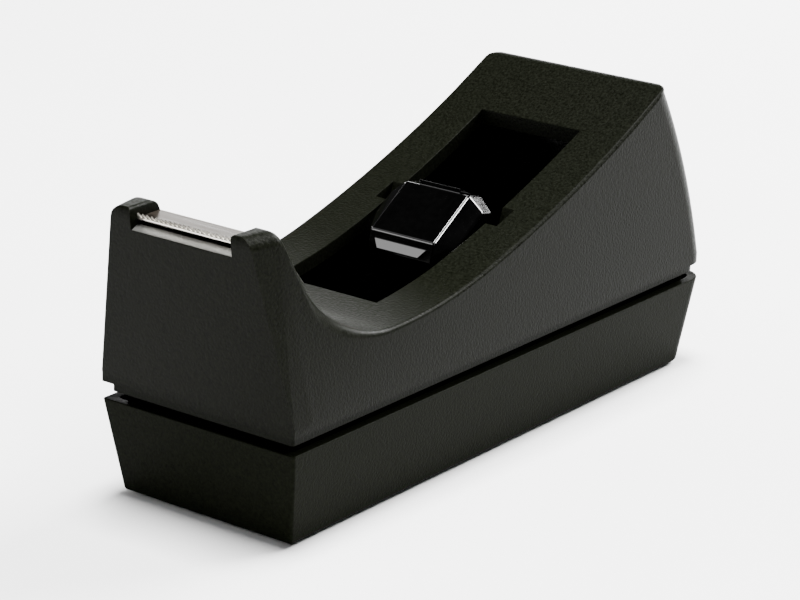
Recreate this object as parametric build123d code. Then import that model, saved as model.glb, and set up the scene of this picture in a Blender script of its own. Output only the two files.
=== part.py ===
from build123d import *
import math
import os

# Weighted desktop tape dispenser, in millimetres. +Z is up, the blade end faces -Y and the tall end +Y.
# The origin is on the surface that it stands on, midway along the whole length.
# A "run" is a distance along Y, measured back from the front edge of the pan's rim, and a "back" is one
# measured forwards from the rim's rear edge.

# ---- base pan ----
rim_length = 150.0
rim_width = 51.0
pan_height = 20.6
pan_taper = 3.0
pan_wall = 2.4
pan_floor = 2.6
pan_front_radius = 1.0
pan_rear_radius = 5.5
pan_foot_radius = 5.0
pan_edge_radius = 0.8

# ---- non-slip pad ----
pad_proud = 0.6
pad_recess = 1.0
pad_margin = 2.0
pad_clearance = 0.2

# ---- housing ----
reveal_gap = 1.4
band_height = 4.4
band_inset = 1.5
band_seat = 1.6
spigot_depth = 7.0
spigot_wall = 1.8
spigot_clearance = 0.3
shell_wall = 2.4
deck_thickness = 3.1
front_lean = 7.2
front_draft = 11.4
side_draft = 1.2
taper_run = 53.0
rear_corner_radius = 6.0

# ---- side outline of the housing, as runs and heights ----
post_height = 65.5
post_crest_run = 2.0
post_shoulder_run = 8.0
post_shoulder_drop = 4.5
post_back_run = 9.9
post_back_height = 54.5
throat_run = 20.5
throat_height = 42.1
valley_run = 32.5
valley_height = 39.4
rise_run = 64.0
rise_height = 43.85
ridge_back = 17.2
ridge_height = 70.6
edge_radius = 1.8
rear_bulge = 2.0
post_root_height = 55.0
post_root_run = 14.0

# ---- opening in the deck, and tape well under it ----
opening_half_width = 13.4
opening_front_run = 41.0
opening_rear_run = 113.3
corner_cut_run = 5.6
corner_cut_width = 7.5
well_setback = 0.4
well_wall = 1.6
well_bottom = 7.0
well_turn_height = 31.0
well_top_clearance = 0.1

# ---- axle, its slots, and the core that turns on it ----
seat_run = 78.5
seat_height = 40.2
slot_lean = 19.0
slot_length = 40.0
axle_radius = 2.5
axle_half_length = 16.0
axle_chamfer = 0.4
slot_clearance = 0.1
axle_end_clearance = 0.4
bore_clearance = 0.05
drum_radius = 12.8
drum_half_width = 8.3
panel_angle = 68.6
panel_tilt = 32.9
drum_wall = 1.6
rib_height = 0.5
rib_width = 2.4
rib_half_length = 6.7
tube_wall = 1.7
web_thickness = 1.6
cap_length = 4.1
cap_end_scale = 0.76
cap_plug_depth = 2.0
cap_plug_wall = 1.6
cap_plug_clearance = 0.15

# ---- blade and its seat between the posts ----
channel_half_width = 13.1
seat_side_clearance = 0.1
ledge_height = 60.9
ledge_rise = 1.7
seat_depth = 9.3
seat_thickness = 3.6
lip_thickness = 2.4
land_setback = 1.5
land_rise = 0.3
land_fall = 25.0
blade_thickness = 0.45
blade_setback = 1.6
blade_depth = 7.0
blade_tab = 1.0
tab_margin = 1.0
tab_clearance = 0.05
tooth_count = 22
tooth_height = 0.9
flange_height = 1.5
tooth_lean = 24.0

# ---- ballast ----
ballast_side_gap = 0.6
ballast_well_gap = 2.2
front_ballast_run = 6.0
front_ballast_height = 20.0
rear_ballast_back = 7.7
rear_ballast_height = 40.8
rear_ballast_shoulder = 20.0
rear_ballast_slope = 6.0
ballast_chamfer = 1.0

# ---- bosses and screws ----
boss_radius = 4.2
pillar_radius = 3.6
boss_inset = 8.1
boss_front_run = 14.0
boss_rear_back = 15.5
boss_split = 12.4
screw_radius = 1.5
screw_pilot_clearance = 0.05
screw_shank_clearance = 0.3
screw_length = 18.0
pilot_spare = 1.0
head_radius = 2.6
head_height = 1.8
head_clearance = 0.3
screw_slot = 0.8
ballast_screw_radius = 2.0
ballast_screw_length = 9.0
countersink_depth = 1.4

# ---- derived places ----
OVER = 4 * rim_width
ROOF = max(post_height, ridge_height) + reveal_gap + band_height

pan_bottom = pad_proud
floor_top = pan_bottom + pan_floor
pad_top = pan_bottom + pad_recess
rim_height = pan_bottom + pan_height
band_bottom = rim_height + reveal_gap
wall_bottom = band_bottom + band_height
spigot_bottom = rim_height + reveal_gap - spigot_depth
half_rim = rim_width / 2
lean_slope = math.tan(math.radians(front_lean))
nose_reach = (post_height - wall_bottom) * lean_slope
rim_front = -rim_length / 2 + nose_reach / 2
rim_rear = rim_front + rim_length
pan_draft = pan_taper / pan_height
spigot_inset = pan_wall + pan_draft * (rim_height - spigot_bottom) + spigot_clearance
bore_radius = axle_radius + bore_clearance
tube_radius = bore_radius + tube_wall
slot_radius = axle_radius + slot_clearance
ridge_run = rim_length - ridge_back
boss_side = half_rim - boss_inset
boss_rear_run = rim_length - boss_rear_back
ballast_half_width = boss_side - boss_radius - ballast_side_gap
well_reach = well_setback + well_wall
front_ballast_length = opening_front_run - well_reach - ballast_well_gap - front_ballast_run
rear_ballast_run = opening_rear_run + well_reach + ballast_well_gap
rear_ballast_length = rim_length - rear_ballast_back - rear_ballast_run


def at(run):
    """Y of a distance behind the front edge of the rim."""
    return rim_front + run


def front_at(height):
    """Y of the leaning front face at a height."""
    return rim_front - (height - wall_bottom) * lean_slope


def single(shape):
    """The one solid of a shape."""
    return shape.solids()[0]


def block(x0, x1, y0, y1, z0, z1):
    """Axis-aligned block between two corners."""
    return Pos((x0 + x1) / 2, (y0 + y1) / 2, (z0 + z1) / 2) * Box(x1 - x0, y1 - y0, z1 - z0)


def side_face(points):
    """Face in the YZ plane from its (y, z) corners."""
    return make_face(Polyline(*[(0, y, z) for y, z in points], close=True))


def side_plate(outline, half):
    """Side outline thickened to each side of the middle plane."""
    return extrude(Pos(-half, 0, 0) * outline, amount=2 * half, dir=(1, 0, 0))


def plan_face(inset, height, rear_radius=None):
    """Outline of the rim in plan, moved in by an inset, with small front and large rear corners."""
    if rear_radius is None:
        rear_radius = max(pan_rear_radius - inset, pan_front_radius)
    width = rim_width - 2 * inset
    length = rim_length - 2 * inset
    face = Pos(0, (rim_front + rim_rear) / 2, height) * Rectangle(width, length)
    face = fillet(face.vertices().sort_by(Axis.Y)[:2], pan_front_radius)
    return fillet(face.vertices().sort_by(Axis.Y)[-2:], rear_radius)


def plan_ring(outer_inset, inner_inset, low, high):
    """Rectangular ring in plan between two insets, standing between two heights."""
    face = plan_face(outer_inset, low) - plan_face(inner_inset, low)
    return extrude(face, amount=high - low, dir=(0, 0, 1))


def boss_places():
    """X and Y of the four housing screws."""
    for run in (boss_front_run, boss_rear_run):
        for side in (-boss_side, boss_side):
            yield side, at(run)


def upright(radius, low, high, x, y):
    """Upright cylinder between two heights."""
    return Pos(x, y, low) * Cylinder(radius, high - low, align=(Align.CENTER, Align.CENTER, Align.MIN))


def cross_rod(radius, half_length, y, z):
    """Cylinder along X, centred on the middle plane."""
    return Pos(0, y, z) * Rot(0, 90, 0) * Cylinder(radius, 2 * half_length)


# ---- housing: outer form and cavity ----
def deck_lines():
    """Post's crest and back, valley and rising deck, as arcs and lines that run on smoothly."""
    crest = (0, at(post_crest_run), post_height)
    shoulder = (0, at(post_shoulder_run), post_height - post_shoulder_drop)
    lines = [TangentArc(crest, shoulder, tangent=(0, 1, 0))]
    lines.append(Line(shoulder, (0, at(post_back_run), post_back_height)))
    for run, height in ((throat_run, throat_height), (valley_run, valley_height),
                        (rise_run, rise_height), (ridge_run, ridge_height)):
        lines.append(TangentArc(lines[-1] @ 1, (0, at(run), height), tangent=lines[-1] % 1))
    return lines


def outline_face():
    """Side outline of the housing above the band: leaning front, post, S-curved deck, bowed rear."""
    front_foot = (0, rim_front, wall_bottom)
    front_top = (0, front_at(post_height), post_height)
    rear_foot = (0, rim_rear, wall_bottom)
    deck = deck_lines()
    crest = deck[0] @ 0
    ridge = deck[-1] @ 1
    rear_middle = (0, (ridge.Y + rim_rear) / 2 + rear_bulge, (ridge_height + wall_bottom) / 2)
    ends = [Line(front_foot, front_top), Line(front_top, crest),
            ThreePointArc(ridge, rear_middle, rear_foot), Line(rear_foot, front_foot)]
    return make_face(Curve() + ends + deck)


def envelope(inset):
    """Plan limits of the housing: walls taper in towards the posts and straighten out behind them."""
    climb = ROOF - wall_bottom
    foot_half = half_rim - inset
    post_half = foot_half - climb * math.tan(math.radians(front_draft))
    roof_half = foot_half - climb * math.tan(math.radians(side_draft))
    y_front = front_at(ROOF) - inset
    y_foot = rim_front - inset
    y_rear = rim_rear + inset
    y_bend = at(taper_run / 2)
    y_straight = at(taper_run)
    foot = Polyline((foot_half, y_foot), (foot_half, y_straight), (foot_half, y_rear),
                    (-foot_half, y_rear), (-foot_half, y_straight), (-foot_half, y_foot), close=True)
    roof = [Bezier((post_half, y_front), (roof_half, y_bend), (roof_half, y_straight)),
            Line((roof_half, y_straight), (roof_half, y_rear)),
            Line((roof_half, y_rear), (-roof_half, y_rear)),
            Line((-roof_half, y_rear), (-roof_half, y_straight)),
            Bezier((-roof_half, y_straight), (-roof_half, y_bend), (-post_half, y_front)),
            Line((-post_half, y_front), (post_half, y_front))]
    foot_face = Pos(0, 0, wall_bottom) * make_face(foot)
    roof_face = Pos(0, 0, ROOF) * make_face(Curve() + roof)
    return loft([foot_face, roof_face], ruled=True)


def rear_corners(form):
    """The two leaning edges where the bowed rear wall meets the side walls."""
    tall = form.edges().filter_by(lambda edge: edge.bounding_box().size.Z > band_height)
    return tall.filter_by(lambda edge: edge.center().Y > at(ridge_run))


def housing_form():
    """Outer form of the housing above the band, with rounded rear corners and rounded upper edges."""
    form = single(side_plate(outline_face(), rim_width) & envelope(0))
    form = single(fillet(rear_corners(form), rear_corner_radius))
    across = form.edges().filter_by(Axis.X)
    corner = Vector(0, at(ridge_run), ridge_height)
    nearest = across.sort_by(lambda edge: (edge.center() - corner).length)[:1]
    return single(fillet(nearest, edge_radius))


def housing_space(roof, wall):
    """Space inside the housing: a roof's thickness under the deck, solid near the posts' tops."""
    inner = offset(outline_face(), amount=-roof, kind=Kind.INTERSECTION)
    space = side_plate(inner, rim_width) & envelope(wall)
    root = block(-rim_width, rim_width, rim_front - rim_width, at(post_root_run), post_root_height, ROOF)
    mouth = extrude(plan_face(wall, wall_bottom), amount=roof + band_seat, dir=(0, 0, 1))
    return single(space - root + (mouth & envelope(wall)))


def opening_plan(setback, low, high):
    """Upright prism of the opening, with its cut-off front corner, moved out by a setback."""
    half = opening_half_width + setback
    front = at(opening_front_run) - setback
    rear = at(opening_rear_run) + setback
    cut_y = front + corner_cut_run
    cut_x = -half + corner_cut_width
    corners = [(cut_x, front), (half, front), (half, rear), (-half, rear), (-half, cut_y)]
    face = Pos(0, 0, low) * make_face(Polyline(*corners, close=True))
    return extrude(face, amount=high - low, dir=(0, 0, 1))


def slot_form(radius, half):
    """Round-ended slot along the axle's way out, thickened to each side of the middle plane."""
    profile = Pos(0, slot_length / 2, 0) * SlotOverall(slot_length + 2 * radius, 2 * radius, rotation=90)
    lean = Plane(origin=(-half, at(seat_run), seat_height), x_dir=(0, 1, 0), z_dir=(1, 0, 0))
    return extrude(lean * Rot(0, 0, -slot_lean) * profile, amount=2 * half, dir=(1, 0, 0))


def slots():
    """Both axle slots as one cutter through the deck and the well's side pockets."""
    return slot_form(slot_radius, axle_half_length + axle_end_clearance)


# ---- blade, its seat and the channel between the posts ----
ledge_front = front_at(ledge_height)
seat_top = ledge_height + ledge_rise
seat_bottom = seat_top - seat_thickness
seat_back = ledge_front + seat_depth
land_top = seat_top + land_rise
land_front = ledge_front + ledge_rise + land_setback
blade_front = ledge_front + blade_setback
blade_back = blade_front + blade_depth
blade_half = channel_half_width - seat_side_clearance


def channel():
    """Cutter between the posts: over the front lip, down to the seat, and sloping away behind it."""
    lip_back = ledge_front + lip_thickness
    fall_run = 2 * seat_depth
    fall = fall_run * math.tan(math.radians(land_fall))
    points = [(ledge_front - seat_depth, ledge_height), (lip_back, ledge_height), (lip_back, seat_bottom),
              (seat_back, seat_bottom), (seat_back, seat_top), (seat_back + fall_run, seat_top - fall),
              (seat_back + fall_run, ROOF), (ledge_front - seat_depth, ROOF)]
    return side_plate(side_face(points), channel_half_width)


def tab_slits():
    """Slits in the posts that take the ends of the blade."""
    half = channel_half_width + blade_tab + tab_clearance
    near = blade_front + tab_margin - tab_clearance
    far = blade_back - tab_margin + tab_clearance
    return block(-half, half, near, far, land_top - tab_clearance, land_top + blade_thickness + tab_clearance)


def blade_seat():
    """Sloped ledge over the housing's front lip, with the land that the blade lies on."""
    lip_back = ledge_front + lip_thickness
    points = [(ledge_front, ledge_height), (ledge_front + ledge_rise, seat_top), (land_front, seat_top),
              (land_front, land_top), (seat_back, land_top), (seat_back, seat_bottom),
              (lip_back, seat_bottom), (lip_back, ledge_height)]
    return side_plate(side_face(points), blade_half)


def cutter_blade():
    """Flat steel strip with end tabs and a toothed front flange bent up and leaning forward."""
    strip = block(-blade_half, blade_half, blade_front, blade_back, land_top, land_top + blade_thickness)
    tab_half = channel_half_width + blade_tab
    tabs = block(-tab_half, tab_half, blade_front + tab_margin, blade_back - tab_margin,
                 land_top, land_top + blade_thickness)
    pitch = 2 * blade_half / tooth_count
    root = flange_height - tooth_height
    edge = [(-blade_half, 0)]
    for tooth in range(tooth_count):
        left = -blade_half + tooth * pitch
        edge.append((left, root))
        edge.append((left + pitch / 2, flange_height))
    edge.append((blade_half, root))
    edge.append((blade_half, 0))
    lean = math.radians(tooth_lean)
    facing = (0, -math.cos(lean), -math.sin(lean))
    plane = Plane(origin=(0, blade_front, land_top), x_dir=(1, 0, 0), z_dir=facing)
    flange = extrude(plane * make_face(Polyline(*edge, close=True)), amount=-blade_thickness)
    return single(strip + tabs + flange)


# ---- housing moulding ----
def housing_shell():
    """The upper moulding with its band, spigot, screw pillars, opening, slots and blade channel."""
    form = housing_form()
    space = housing_space(deck_thickness, shell_wall)
    shell = form - space
    band = plan_ring(band_inset, spigot_inset + spigot_wall, band_bottom, wall_bottom)
    seat = plan_ring(band_inset, spigot_inset + spigot_wall, wall_bottom - band_seat, wall_bottom + band_seat)
    spigot = plan_ring(spigot_inset, spigot_inset + spigot_wall, spigot_bottom, band_bottom)
    shell += band
    shell += seat & envelope(0)
    shell += spigot
    for x, y in boss_places():
        pillar = upright(pillar_radius, boss_split, ROOF, x, y)
        lower = upright(pillar_radius, boss_split, wall_bottom, x, y)
        shell += (pillar & form) + lower
    shell = shell - opening_plan(0, floor_top, ROOF) - slots() - channel() - tab_slits()
    for x, y in boss_places():
        pilot_top = head_seat + screw_length + pilot_spare
        shell -= upright(screw_radius + screw_pilot_clearance, boss_split, pilot_top, x, y)
    return single(shell)


def well_profile(wall):
    """Side outline of the tub: straight ends down to a wide round bottom, grown by a wall."""
    front = at(opening_front_run) - well_setback - wall
    rear = at(opening_rear_run) + well_setback + wall
    bottom = (0, (front + rear) / 2, well_bottom - wall)
    edges = [Line((0, front, ROOF), (0, front, well_turn_height)),
             ThreePointArc((0, front, well_turn_height), bottom, (0, rear, well_turn_height)),
             Line((0, rear, well_turn_height), (0, rear, ROOF)),
             Line((0, rear, ROOF), (0, front, ROOF))]
    return make_face(Curve() + edges)


def tape_well():
    """Glossy tub under the opening, with a pocket each side for the axle's ends."""
    outer_half = opening_half_width + well_reach
    pocket_half = axle_half_length + axle_end_clearance + well_wall
    tub = side_plate(well_profile(well_wall), outer_half)
    tub += slot_form(slot_radius + well_wall, pocket_half)
    lid = housing_space(deck_thickness + well_top_clearance, shell_wall + well_top_clearance)
    skirt = block(-rim_width, rim_width, rim_front, rim_rear, 0, wall_bottom + band_seat)
    tub = tub & (lid + skirt)
    hollow = side_plate(well_profile(0), OVER) & opening_plan(well_setback, floor_top, ROOF)
    return single(tub - hollow - slots())


# ---- base pan and pad ----
head_seat = pad_top + head_height + head_clearance


def base_pan():
    """Tapered tray with screw bosses, well rests, countersunk ballast holes and a recess for the pad."""
    foot = plan_face(pan_taper, pan_bottom, pan_foot_radius)
    pan = loft([foot, plan_face(0, rim_height)], ruled=True)
    pan = fillet(pan.edges().group_by(Axis.Z)[0], pan_edge_radius)
    lift = pan_draft * pan_floor
    tray_foot = plan_face(pan_taper - lift + pan_wall, floor_top)
    tray = loft([tray_foot, plan_face(pan_wall, rim_height)], ruled=True)
    pan = single(pan - tray)
    for x, y in boss_places():
        pan += upright(boss_radius, pad_top, boss_split, x, y)
    rest_half = opening_half_width
    rest_y = at((opening_front_run + opening_rear_run) / 2)
    pan += block(-rest_half, rest_half, rest_y - boss_radius, rest_y + boss_radius,
                 pad_top, well_bottom - well_wall - well_top_clearance)
    pan -= extrude(plan_face(pan_taper + pad_margin, pan_bottom), amount=pad_recess, dir=(0, 0, 1))
    for x, y in boss_places():
        pan -= upright(screw_radius + screw_shank_clearance, pan_bottom, boss_split, x, y)
        pan -= upright(head_radius + head_clearance, pan_bottom, head_seat, x, y)
    for y in ballast_screw_places():
        pan -= upright(ballast_screw_radius + screw_shank_clearance, pan_bottom, floor_top, 0, y)
        pan -= countersink(screw_shank_clearance, y)
    return single(pan)


def ballast_screw_places():
    """Y of the two ballast screws."""
    return (at(front_ballast_run + front_ballast_length / 2), at(rear_ballast_run + rear_ballast_length / 2))


def countersink(clearance, y):
    """Cone of a countersunk head, wide side down."""
    wide = ballast_screw_radius + countersink_depth + clearance
    cone = Cone(wide, ballast_screw_radius + clearance, countersink_depth,
                align=(Align.CENTER, Align.CENTER, Align.MIN))
    return Pos(0, y, pad_top) * cone


def non_slip_pad():
    """Soft sheet in the recess under the pan, standing a little proud of it."""
    face = plan_face(pan_taper + pad_margin + pad_clearance, 0)
    return single(extrude(face, amount=pad_recess + pad_proud, dir=(0, 0, 1)))


def front_ballast():
    """Cast block in the front of the pan."""
    body = block(-ballast_half_width, ballast_half_width, at(front_ballast_run),
                 at(front_ballast_run + front_ballast_length), floor_top, floor_top + front_ballast_height)
    return ballast_finish(body)


def rear_ballast():
    """Taller cast block under the high rear end, sloped to clear the bowed rear wall."""
    front = at(rear_ballast_run)
    back = front + rear_ballast_length
    top = floor_top + rear_ballast_height
    points = [(front, floor_top), (back, floor_top), (back, floor_top + rear_ballast_shoulder),
              (back - rear_ballast_slope, top), (front, top)]
    return ballast_finish(side_plate(side_face(points), ballast_half_width))


def ballast_finish(body):
    """Ballast block with chamfered upright edges and the tapped holes from below."""
    upright_edges = body.edges().filter_by(Axis.Z)
    body = chamfer(upright_edges, ballast_chamfer)
    for y in ballast_screw_places():
        body -= upright(ballast_screw_radius + screw_pilot_clearance, floor_top,
                        pad_top + ballast_screw_length + pilot_spare, 0, y)
    return single(body)


# ---- core and axle ----
def core_polygon(radius, x):
    """Square with cut corners, turned as it stands in the photograph, in the plane across the axle."""
    plane = Plane(origin=(x, at(seat_run), seat_height), x_dir=(0, 1, 0), z_dir=(1, 0, 0))
    corners = []
    for quarter in range(4):
        middle = 90 + panel_tilt + 90 * quarter
        for side in (-panel_angle / 2, panel_angle / 2):
            angle = math.radians(middle + side)
            corners.append((radius * math.cos(angle), radius * math.sin(angle)))
    return plane * make_face(Polyline(*corners, close=True))


def core_prism(radius, half):
    """Core section along X to each side of the middle plane."""
    return extrude(core_polygon(radius, -half), amount=2 * half, dir=(1, 0, 0))


def corner_rib(quarter):
    """Low rib on one cut corner of the drum, with sloped ends, that grips the roll's bore."""
    angle = panel_tilt + 90 * quarter + 45 + 90
    flat = drum_radius * math.cos(math.radians((90 - panel_angle) / 2))
    base = Rectangle(2 * rib_half_length, rib_width)
    top = Rectangle(2 * (rib_half_length - rib_height), rib_width - rib_height)
    rib = loft([base, Pos(0, 0, rib_height) * top], ruled=True)
    sunk = Pos(0, 0, -rib_height / 2) * extrude(base, amount=rib_height / 2, dir=(0, 0, 1))
    return Pos(0, at(seat_run), seat_height) * Rot(angle - 90, 0, 0) * Pos(0, 0, flat) * (rib + sunk)


def core_drum():
    """Hollow square-faced drum with a bearing tube, a middle web and four grip ribs."""
    seat_y = at(seat_run)
    inner_radius = drum_radius - drum_wall / math.cos(math.radians(panel_angle / 2))
    drum = core_prism(drum_radius, drum_half_width) - core_prism(inner_radius, OVER)
    drum += core_prism(inner_radius + drum_wall / 2, web_thickness / 2)
    drum += cross_rod(tube_radius, drum_half_width, seat_y, seat_height)
    for quarter in range(4):
        drum += corner_rib(quarter)
    return single(drum - cross_rod(bore_radius, OVER, seat_y, seat_height))


def core_cap(side):
    """Tapered end of the core on one side, with a plug that snaps into the drum."""
    seat_y = at(seat_run)
    near = core_polygon(drum_radius, drum_half_width)
    far = core_polygon(drum_radius * cap_end_scale, drum_half_width + cap_length)
    cap = loft([near, far], ruled=True)
    panel_reach = drum_radius * math.cos(math.radians(panel_angle / 2)) - drum_wall
    plug_radius = panel_reach - cap_plug_clearance
    plug = Plane(origin=(drum_half_width - cap_plug_depth, seat_y, seat_height), z_dir=(1, 0, 0))
    ring = Circle(plug_radius) - Circle(plug_radius - cap_plug_wall)
    cap += extrude(plug * ring, amount=cap_plug_depth + cap_length / 2, dir=(1, 0, 0))
    cap = single(cap - cross_rod(bore_radius, OVER, seat_y, seat_height))
    return cap if side > 0 else single(mirror(cap, about=Plane.YZ))


def core_axle():
    """Plain rod with chamfered ends, resting in the bottoms of both slots."""
    rod = cross_rod(axle_radius, axle_half_length, at(seat_run), seat_height)
    ends = rod.edges().filter_by(GeomType.CIRCLE)
    return single(chamfer(ends, axle_chamfer))


# ---- screws ----
def housing_screws():
    """Four pan-head screws from below, standing in the pan's counterbores."""
    screws = []
    for x, y in boss_places():
        head = upright(head_radius, head_seat - head_height, head_seat, x, y)
        head = fillet(head.edges().group_by(Axis.Z)[0], head_height / 3)
        shank = upright(screw_radius, head_seat - head_height, head_seat + screw_length, x, y)
        body = head + chamfer(shank.edges().group_by(Axis.Z)[-1], screw_radius / 2)
        for turn in (0, 90):
            bar = Box(2 * screw_radius, screw_slot, head_height)
            body -= Pos(x, y, head_seat - head_height) * Rot(0, 0, turn) * bar
        screws.append(single(body))
    return Compound(children=screws)


def ballast_screws():
    """Two countersunk screws up into the ballast blocks."""
    screws = []
    for y in ballast_screw_places():
        shank = upright(ballast_screw_radius, pad_top, pad_top + ballast_screw_length, 0, y)
        body = countersink(0, y) + chamfer(shank.edges().group_by(Axis.Z)[-1], screw_radius / 2)
        body -= Pos(0, y, pad_top) * Box(screw_slot, 2 * ballast_screw_radius, countersink_depth)
        screws.append(single(body))
    return Compound(children=screws)


PARTS = {
    "housing_shell": housing_shell,
    "tape_well": tape_well,
    "blade_seat": blade_seat,
    "cutter_blade": cutter_blade,
    "core_drum": core_drum,
    "left_core_cap": lambda: core_cap(-1),
    "right_core_cap": lambda: core_cap(1),
    "core_axle": core_axle,
    "base_pan": base_pan,
    "front_ballast": front_ballast,
    "rear_ballast": rear_ballast,
    "non_slip_pad": non_slip_pad,
    "housing_screws": housing_screws,
    "ballast_screws": ballast_screws,
}

os.makedirs("parts", exist_ok=True)
for name, make in PARTS.items():
    export_step(make(), f"parts/{name}.step")
    print(name)
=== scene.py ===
"""Dressed model of a weighted desktop tape dispenser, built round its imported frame."""
import logging
import math
from dataclasses import dataclass, field
from enum import Enum
from typing import Callable, Iterable, Sequence

import bmesh
import bpy
from bmesh.types import BMEdge, BMesh, BMVert
from bpy.types import Material, NodeSocket, Object
from mathutils import Matrix, Vector


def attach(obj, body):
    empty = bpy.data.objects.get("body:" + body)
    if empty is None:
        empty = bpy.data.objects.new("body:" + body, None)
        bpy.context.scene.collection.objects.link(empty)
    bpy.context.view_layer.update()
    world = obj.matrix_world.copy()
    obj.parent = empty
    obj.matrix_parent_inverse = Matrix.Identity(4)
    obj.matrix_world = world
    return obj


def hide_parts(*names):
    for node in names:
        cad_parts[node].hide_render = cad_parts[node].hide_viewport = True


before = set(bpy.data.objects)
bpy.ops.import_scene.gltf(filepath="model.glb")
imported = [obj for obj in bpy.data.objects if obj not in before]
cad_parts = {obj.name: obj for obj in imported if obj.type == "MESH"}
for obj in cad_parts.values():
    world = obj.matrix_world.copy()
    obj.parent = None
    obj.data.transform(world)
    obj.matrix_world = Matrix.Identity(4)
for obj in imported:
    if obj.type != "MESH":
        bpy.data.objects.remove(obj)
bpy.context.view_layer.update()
LOG = logging.getLogger("dispenser")
MM = 0.001


class Body(Enum):
    """Bodies that new pieces ride on."""

    ROOT = "root"
    CORE = "core"


class Slot(Enum):
    """Material slots of the record, passed along with new pieces."""

    HOUSING = "housing_plastic"
    GLOSS = "gloss_black"
    SEAT = "seat_plastic"
    BLADE = "blade_steel"


class Way(Enum):
    """Ways in which a tool shape changes a piece."""

    JOIN = "UNION"
    CUT = "DIFFERENCE"


def outward(azimuth: float, elevation: float) -> Vector:
    """Direction from the object towards a place round it.

    Args:
        azimuth: degrees round the object, 0 in front and 90 on its right.
        elevation: degrees above the floor.

    Returns:
        The direction, one unit long.
    """
    turn, rise = math.radians(azimuth), math.radians(elevation)
    level = math.cos(rise)
    return Vector((math.sin(turn) * level, -math.cos(turn) * level, math.sin(rise)))


# ---------------------------------------------------------------- finishes
class Graph:
    """Node tree of one material, wired by short calls.

    The part of a pattern from LOW_SIDE to HIGH_SIDE is what spread and tint map. Beyond it they hold
    the value at that end.
    """

    LOW_SIDE: float = 0.3
    HIGH_SIDE: float = 0.7

    def __init__(self, name: str) -> None:
        """Starts a material with its shader and object coordinates.

        Args:
            name: the material's name.
        """
        self.material = bpy.data.materials.new(name)
        self.material.use_nodes = True
        self.tree = self.material.node_tree
        self.shader = self.tree.nodes["Principled BSDF"]
        self.place = self.tree.nodes.new("ShaderNodeTexCoord").outputs["Object"]

    def wire(self, start: NodeSocket, end: NodeSocket) -> None:
        """Joins an output socket to an input socket."""
        self.tree.links.new(start, end)

    def noise(self, scale: float, detail: float = 2.0,
              stretch: Sequence[float] = (1, 1, 1)) -> NodeSocket:
        """Noise over the object's own coordinates.

        Args:
            scale: cells per metre.
            detail: octaves of finer noise.
            stretch: scale along each axis.

        Returns:
            The noise's factor socket.
        """
        mapping = self.tree.nodes.new("ShaderNodeMapping")
        mapping.inputs["Scale"].default_value = stretch
        self.wire(self.place, mapping.inputs["Vector"])
        node = self.tree.nodes.new("ShaderNodeTexNoise")
        node.inputs["Scale"].default_value = scale
        node.inputs["Detail"].default_value = detail
        self.wire(mapping.outputs["Vector"], node.inputs["Vector"])
        return node.outputs["Fac"]

    def cells(self, scale: float) -> NodeSocket:
        """Distance to cell centres over the object's own coordinates.

        Args:
            scale: cells per metre.

        Returns:
            The distance socket.
        """
        node = self.tree.nodes.new("ShaderNodeTexVoronoi")
        node.inputs["Scale"].default_value = scale
        self.wire(self.place, node.inputs["Vector"])
        return node.outputs["Distance"]

    def spread(self, source: NodeSocket, low: float, high: float) -> NodeSocket:
        """Maps the middle of a 0 to 1 pattern onto a range.

        Args:
            source: the pattern's socket.
            low: value at the pattern's low side.
            high: value at its high side.

        Returns:
            The mapped value's socket.
        """
        node = self.tree.nodes.new("ShaderNodeMapRange")
        node.inputs["From Min"].default_value = self.LOW_SIDE
        node.inputs["From Max"].default_value = self.HIGH_SIDE
        node.inputs["To Min"].default_value = low
        node.inputs["To Max"].default_value = high
        self.wire(source, node.inputs["Value"])
        return node.outputs["Result"]

    def tint(self, source: NodeSocket, low: Sequence[float], high: Sequence[float]) -> None:
        """Colours the shader between two colours by a pattern.

        Args:
            source: the pattern's socket.
            low: colour at the pattern's low side.
            high: colour at its high side.
        """
        ramp = self.tree.nodes.new("ShaderNodeValToRGB")
        ends = zip(ramp.color_ramp.elements, (self.LOW_SIDE, self.HIGH_SIDE), (low, high))
        for element, position, colour in ends:
            element.position = position
            element.color = (*colour, 1)
        self.wire(source, ramp.inputs["Fac"])
        self.wire(ramp.outputs["Color"], self.shader.inputs["Base Color"])

    def bump(self, source: NodeSocket, depth: float) -> None:
        """Raises the surface by a pattern.

        Args:
            source: the pattern's socket.
            depth: height of the relief in metres.
        """
        node = self.tree.nodes.new("ShaderNodeBump")
        node.inputs["Distance"].default_value = depth
        node.inputs["Strength"].default_value = 1.0
        self.wire(source, node.inputs["Height"])
        self.wire(node.outputs["Normal"], self.shader.inputs["Normal"])


@dataclass(frozen=True)
class TexturedPlastic:
    """Dark moulding with the fine grain of a spark-eroded mould."""

    name: str = "charcoal_moulding"
    dark: tuple[float, float, float] = (0.0010, 0.0012, 0.0005)
    light: tuple[float, float, float] = (0.0033, 0.0039, 0.0020)
    grain: float = 1700.0
    octaves: float = 3.0
    relief: float = 0.09 * MM
    smooth: float = 0.30
    rough: float = 0.48
    shine: float = 0.022

    def make(self) -> Material:
        """Builds the material.

        Returns:
            The new material.
        """
        graph = Graph(self.name)
        grain = graph.noise(self.grain, self.octaves)
        graph.tint(grain, self.dark, self.light)
        graph.wire(graph.spread(grain, self.smooth, self.rough), graph.shader.inputs["Roughness"])
        graph.bump(grain, self.relief)
        graph.shader.inputs["Specular IOR Level"].default_value = self.shine
        return graph.material


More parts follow.
